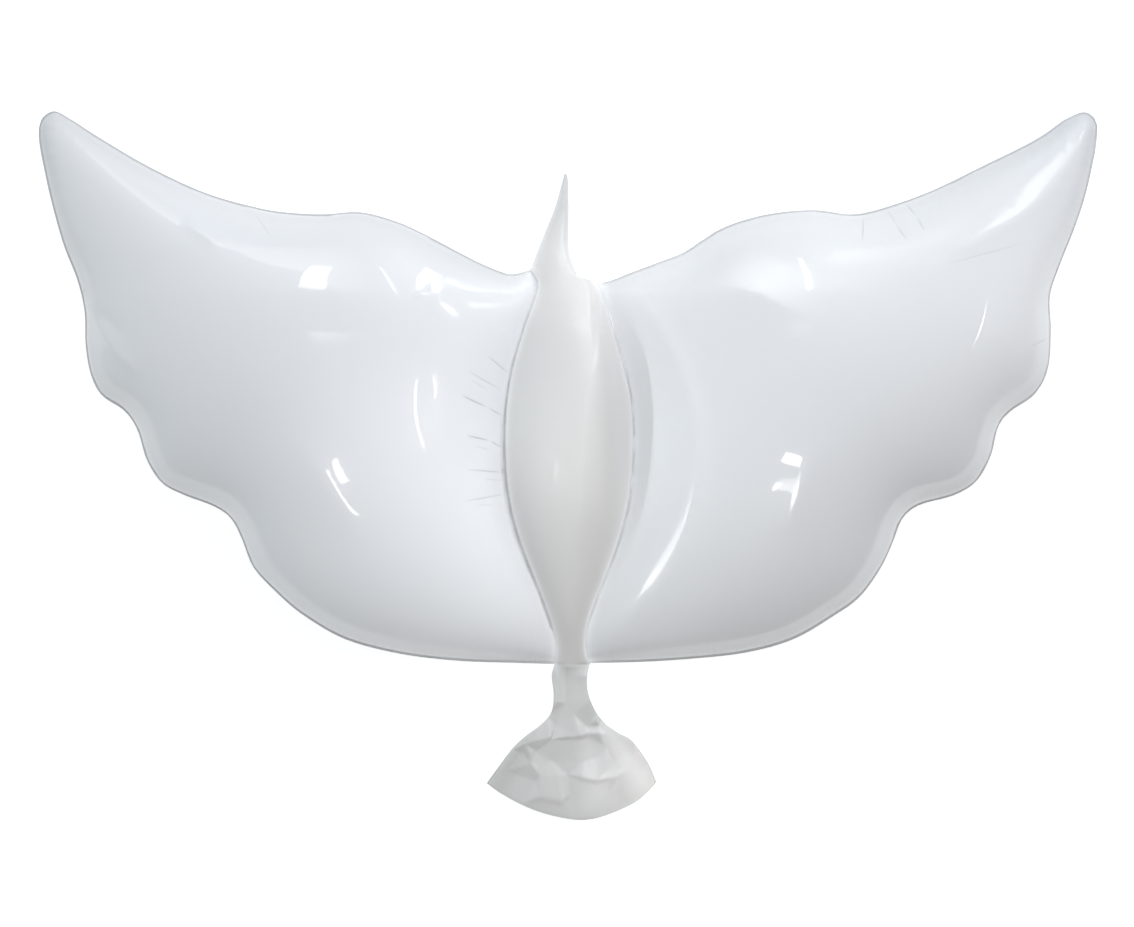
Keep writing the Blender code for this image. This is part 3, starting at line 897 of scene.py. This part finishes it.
def white_film():
    """Return the glossy white film."""
    material = bpy.data.materials.new("white_film")
    material.use_nodes = True
    tree = material.node_tree
    shader = tree.nodes["Principled BSDF"]
    shader.inputs["Coat Roughness"].default_value = COAT_ROUGHNESS
    place = Signal(tree, tree.nodes.new("ShaderNodeTexCoord").outputs["Object"])
    names = ("weld_gap", "weld_run", "seam_gap", "upper", "breast")
    gap, run, seam_gap, upper, breast = (attribute(tree, name) for name in names)
    crease = creases(place) * upper

    clouds = place.node("ShaderNodeTexNoise", Vector=place, Scale=CLOUD_SCALE, Detail=2.0)
    broad = Signal(tree, clouds.outputs[0])
    specks = place.node("ShaderNodeTexNoise", Vector=place, Scale=SPECK_SCALE, Detail=3.0)
    fine = Signal(tree, specks.outputs[0])
    along_bird = Signal(tree, place.node("ShaderNodeSeparateXYZ", _0=place).outputs[1])
    below_body = (along_bird * -1.0 - SLACK_START) * (1 / SLACK_FADE)
    slack_part = below_body.math("MAXIMUM", 0.0).math("MINIMUM", 1.0)
    weld_line = close_to(gap, WELD_LINE_WIDTH) * fine * WELD_LINE_SHADE
    # The rim band along the outer outline carries painted shade and a loss of gloss.
    outer_edge = close_to(gap, RIM_WIDTH) - close_to(seam_gap, RIM_WIDTH)
    rim = outer_edge * (1.0 - breast) * (1.0 - slack_part)

    colour = mix(broad, COOL_WHITE, WARM_WHITE)
    # Painted shade over the breast panel.
    colour = mix(breast, colour, BREAST_PAINTED_SHADE)
    # Painted shade over the tail.
    colour = mix(slack_part, colour, TAIL_PAINTED_SHADE)
    # The weld line is the pressed flange's own grey; the rim band on top of it is painted shade.
    colour = mix((weld_line + rim * RIM_PAINTED_SHADE).math("MINIMUM", 1.0), colour, WELD_AND_SHADE_GREY)
    # Painted shade in the creases.
    colour = mix((crease * CREASE_PAINTED_SHADE).math("MINIMUM", 1.0), colour, WELD_AND_SHADE_GREY)
    tree.links.new(colour.socket, shader.inputs["Base Color"])
    roughness = ROUGHNESS + fine * SPECK_ROUGHNESS + slack_part * SLACK_ROUGHNESS
    tree.links.new(roughness.socket, shader.inputs["Roughness"])
    # Painted light: a faint glow along the seam grooves, standing in for light through the thin film.
    painted_glow = close_to(seam_gap, PAINTED_SEAM_GLOW_WIDTH) * PAINTED_SEAM_GLOW
    painted_glow_colour = place.node("ShaderNodeCombineXYZ", X=painted_glow, Y=painted_glow, Z=painted_glow)
    tree.links.new(painted_glow_colour.outputs[0], shader.inputs["Emission Color"])
    shader.inputs["Emission Strength"].default_value = 1.0
    coat = 1.0 - slack_part * SLACK_COAT_LOSS - weld_line * WELD_COAT_LOSS - rim * RIM_COAT_LOSS
    tree.links.new(coat.math("MAXIMUM", 0.0).socket, shader.inputs["Coat Weight"])

    flat_line = {"noise_dimensions": "1D"}
    wave = place.node("ShaderNodeTexNoise", flat_line, W=run, Scale=PUCKER_SCALE, Detail=2.0)
    beside_weld = (gap * -PUCKER_FADE).math("EXPONENT")
    gathered = (Signal(tree, wave.outputs[0]) - 0.5) * beside_weld * PUCKER_HEIGHT
    ripple = (fine - 0.5) * SPECK_HEIGHT + (broad - 0.5) * CLOUD_HEIGHT
    height = ripple + gathered - crease * CREASE_DEPTH
    bump = place.node("ShaderNodeBump", Height=height, Strength=1.0, Distance=1.0)
    tree.links.new(bump.outputs[0], shader.inputs["Normal"])
    return material


film.data.materials.clear()
film.data.materials.append(white_film())
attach(film, "root")
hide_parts("dove_envelope")
print("The finish has", len(film.data.materials[0].node_tree.nodes), "nodes")

# %% [markdown]
# ## The floor and the light
# The photograph has a plain white background, so a pale floor that glows a little lies under the
# balloon. The soft light comes from the room itself: a few broad glows, as from windows and white
# walls, that melt into each other.

# %% Lay the floor
FLOOR_SIZE = 12.0
FLOOR_CLEARANCE = 0.001
FLOOR_WHITE = (0.8, 0.8, 0.8, 1.0)
FLOOR_GLOW = 0.5
deselect_everything()
bpy.ops.mesh.primitive_plane_add(size=FLOOR_SIZE, location=(0, 0, -FLOOR_CLEARANCE))
floor = bpy.context.active_object
floor.name = "floor"
floor_material = bpy.data.materials.new("pale_floor")
floor_material.use_nodes = True
floor_shader = floor_material.node_tree.nodes["Principled BSDF"]
floor_shader.inputs["Base Color"].default_value = FLOOR_WHITE
floor_shader.inputs["Roughness"].default_value = 0.9
floor_shader.inputs["Emission Color"].default_value = (1.0, 1.0, 1.0, 1.0)
floor_shader.inputs["Emission Strength"].default_value = FLOOR_GLOW
floor.data.materials.append(floor_material)

# %% Light the room, with each glow's direction, strength and tint
SKY_SHARPNESS = 3
SKY_GLOWS = [
    ((0, 0, 1), 0.75, (1.0, 1.0, 1.0)),
    ((0.8, 0, 0.6), 0.14, (1.3, 1.0, 0.7)),
    ((0.57, 0.57, 0.6), 0.98, (0.92, 1.0, 1.12)),
    ((-0.57, -0.57, 0.6), 0.16, (1.1, 1.0, 0.9)),
    ((0, 1, 0.15), 0.85, (1.0, 1.0, 1.0)),
    ((-1, 0, 0.15), 0.58, (0.82, 1.0, 1.12)),
]


def light_room():
    """Make a soft room light from a few broad glows, each with a direction, a strength and a tint."""
    world = bpy.data.worlds.new("studio")
    world.use_nodes = True
    tree = world.node_tree
    light = tree.nodes["Background"]
    light.inputs["Strength"].default_value = 0
    way = Signal(tree, tree.nodes.new("ShaderNodeTexCoord").outputs["Generated"])
    for direction, strength, tint in SKY_GLOWS:
        toward = way.vector("DOT_PRODUCT", "Value", _1=Vector(direction).normalized())
        brightness = toward.math("MAXIMUM", 0.0).math("POWER", SKY_SHARPNESS) * strength
        glow = way.node("ShaderNodeBackground", Color=(*tint, 1.0), Strength=brightness)
        both = tree.nodes.new("ShaderNodeAddShader")
        tree.links.new(light.outputs[0], both.inputs[0])
        tree.links.new(glow.outputs[0], both.inputs[1])
        light = both
    tree.links.new(light.outputs[0], tree.nodes["World Output"].inputs["Surface"])
    bpy.context.scene.world = world


light_room()

# %% [markdown]
# ## Lamps and their mirror images
# A glossy film shows each lamp as a small mirror image. A photographer moves a lamp until its image
# sits where it should, and the lamp can be placed by sums in the same way: the view through a pixel is
# mirrored by the film, and the lamp hangs out along the mirrored direction. Each of these lamps has a
# narrow beam, so that it shows in one place, and it lights nothing but its mirror image.
#
# A second kind of lamp does the opposite. It makes a soft pool of light, as a lamp behind a diffuser
# does, and it leaves no mirror image.

# %% Find what the film mirrors


def film_spot(pixel):
    """Return where a pixel of the photograph shows the film, and the direction mirrored there."""
    x = (pixel[0] - PHOTO_WIDTH / 2) * METRES_PER_PIXEL
    y = (PHOTO_HEIGHT / 2 - pixel[1]) * METRES_PER_PIXEL
    way = Vector((x, y, -CAMERA_DISTANCE)).normalized()
    spot, normal = film.ray_cast(camera.location, way)[1:3]
    return spot, way - 2 * way.dot(normal) * normal


# %% Hang a lamp for its mirror image


def beam(spread):
    """Return the share of its light that a lamp with a narrow beam needs to look as bright."""
    return math.pi * math.tan(math.radians(spread) / 2) ** 2 / 3


def area_lamp(name, place, toward, along, size, power, spread):
    """Add a rectangular lamp that shines toward a place, with its long side along a direction."""
    data = bpy.data.lights.new(name, "AREA")
    data.shape = "RECTANGLE"
    data.size, data.size_y = size
    data.energy = power
    data.spread = math.radians(spread)
    back = (place - toward).normalized()
    side = (along - back * along.dot(back)).normalized()
    lamp = bpy.data.objects.new(name, data)
    lamp.matrix_world = Matrix((side, back.cross(side), back)).transposed().to_4x4()
    lamp.location = place
    lamp.visible_camera = False
    bpy.context.scene.collection.objects.link(lamp)
    return lamp


def mirrored_lamp(name, first, last, width, brightness, distance=1.5, spread=15.0):
    """Hang a lamp whose mirror image on the film runs from one pixel to another."""
    (near_spot, near_way), (far_spot, far_way) = film_spot(first), film_spot(last)
    near_end, far_end = near_spot + near_way * distance, far_spot + far_way * distance
    reach = far_end - near_end
    size = (max(reach.length, width), width)
    power = brightness * size[0] * size[1] * beam(spread)
    target = (near_spot + far_spot) / 2
    lamp = area_lamp(name, (near_end + far_end) / 2, target, reach, size, power, spread)
    lamp.visible_diffuse = False


# %% Hang lamps by their angles
POOL_LAMP_SIZE = (0.1, 0.1)


def away(azimuth, elevation):
    """Return a direction of length 1 from its angles in degrees."""
    turn, rise = math.radians(azimuth), math.radians(elevation)
    return Vector((math.cos(turn) * math.cos(rise), math.sin(turn) * math.cos(rise), math.sin(rise)))


def gloss_lamp(name, pixel, azimuth, elevation, width, brightness, spread, distance=1.5):
    """Hang a square lamp that the film round a pixel mirrors wherever it is tilted towards it."""
    spot = film_spot(pixel)[0]
    place = spot + away(azimuth, elevation) * distance
    power = brightness * width**2 * beam(spread)
    lamp = area_lamp(name, place, spot, Vector((1, 0, 0)), (width, width), power, spread)
    lamp.visible_diffuse = False


def pool_lamp(name, pixel, azimuth, elevation, glow, spread, distance=2.2):
    """Hang a small lamp that makes a soft pool of light round a pixel and leaves no mirror image."""
    spot = film_spot(pixel)[0]
    place = spot + away(azimuth, elevation) * distance
    power = glow * math.pi * distance**2 * beam(spread)
    lamp = area_lamp(name, place, spot, Vector((0, 0, 1)), POOL_LAMP_SIZE, power, spread)
    lamp.visible_glossy = False


# %% Lamps that show as mirror images
mirrored_lamp("left_window", (303, 291), (325, 265), 0.10, 12)
mirrored_lamp("left_shoulder", (430, 292), (432, 270), 0.10, 8, spread=45)
mirrored_lamp("left_shoulder_band", (455, 284), (505, 291), 0.15, 2.5, spread=45)
mirrored_lamp("left_strip", (418, 381), (422, 447), 0.022, 14)
mirrored_lamp("left_strip_echo", (440, 376), (442, 440), 0.02, 2)
mirrored_lamp("left_slash", (326, 474), (354, 514), 0.03, 13, spread=40)
mirrored_lamp("left_wedge", (335, 459), (347, 481), 0.02, 14)
mirrored_lamp("right_stroke", (800, 258), (824, 288), 0.025, 12, spread=40)
mirrored_lamp("right_shoulder", (730, 270), (805, 305), 0.4, 2.5, spread=40)
mirrored_lamp("right_strip", (988, 301), (979, 344), 0.025, 12)
mirrored_lamp("right_strip_echo", (1001, 291), (992, 340), 0.025, 2)
mirrored_lamp("right_window", (797, 481), (790, 514), 0.11, 14)
mirrored_lamp("right_window_top", (803, 459), (798, 469), 0.06, 14)
mirrored_lamp("right_window_side", (776, 485), (773, 490), 0.03, 12)
mirrored_lamp("right_edge_streak", (1085, 140), (1045, 185), 0.10, 4, spread=40)
mirrored_lamp("right_fold_streak", (1040, 190), (985, 228), 0.10, 4, spread=30)
mirrored_lamp("right_arc", (697, 455), (640, 600), 0.11, 10, distance=1.0, spread=12)
mirrored_lamp("body_wedge", (595, 352), (596, 368), 0.08, 8, spread=30)
gloss_lamp("tail_gloss", (570, 760), 90, 69, 0.6, 4, 14)

# %% Lamps that make soft pools of light
pool_lamp("left_root_pool", (495, 550), 0, 50, 0.25, 11)
pool_lamp("left_upper_root_pool", (455, 440), 20, 50, 0.08, 12)
pool_lamp("body_pool", (555, 430), 180, 33, 0.33, 8)
pool_lamp("lower_body_pool", (560, 600), 200, 40, 0.14, 4)
pool_lamp("neck_pool", (590, 283), 60, 35, 0.40, 5)
pool_lamp("right_shoulder_pool", (805, 258), 90, 40, 0.09, 12)
pool_lamp("right_wing_pool", (1040, 250), 0, 35, 0.13, 11)
pool_lamp("head_pool", (556, 235), 180, 40, 0.42, 4)
pool_lamp("tail_pool", (648, 772), 45, 60, 1.0, 4)

# %% Show the colours as they are
bpy.context.scene.view_settings.view_transform = "Standard"
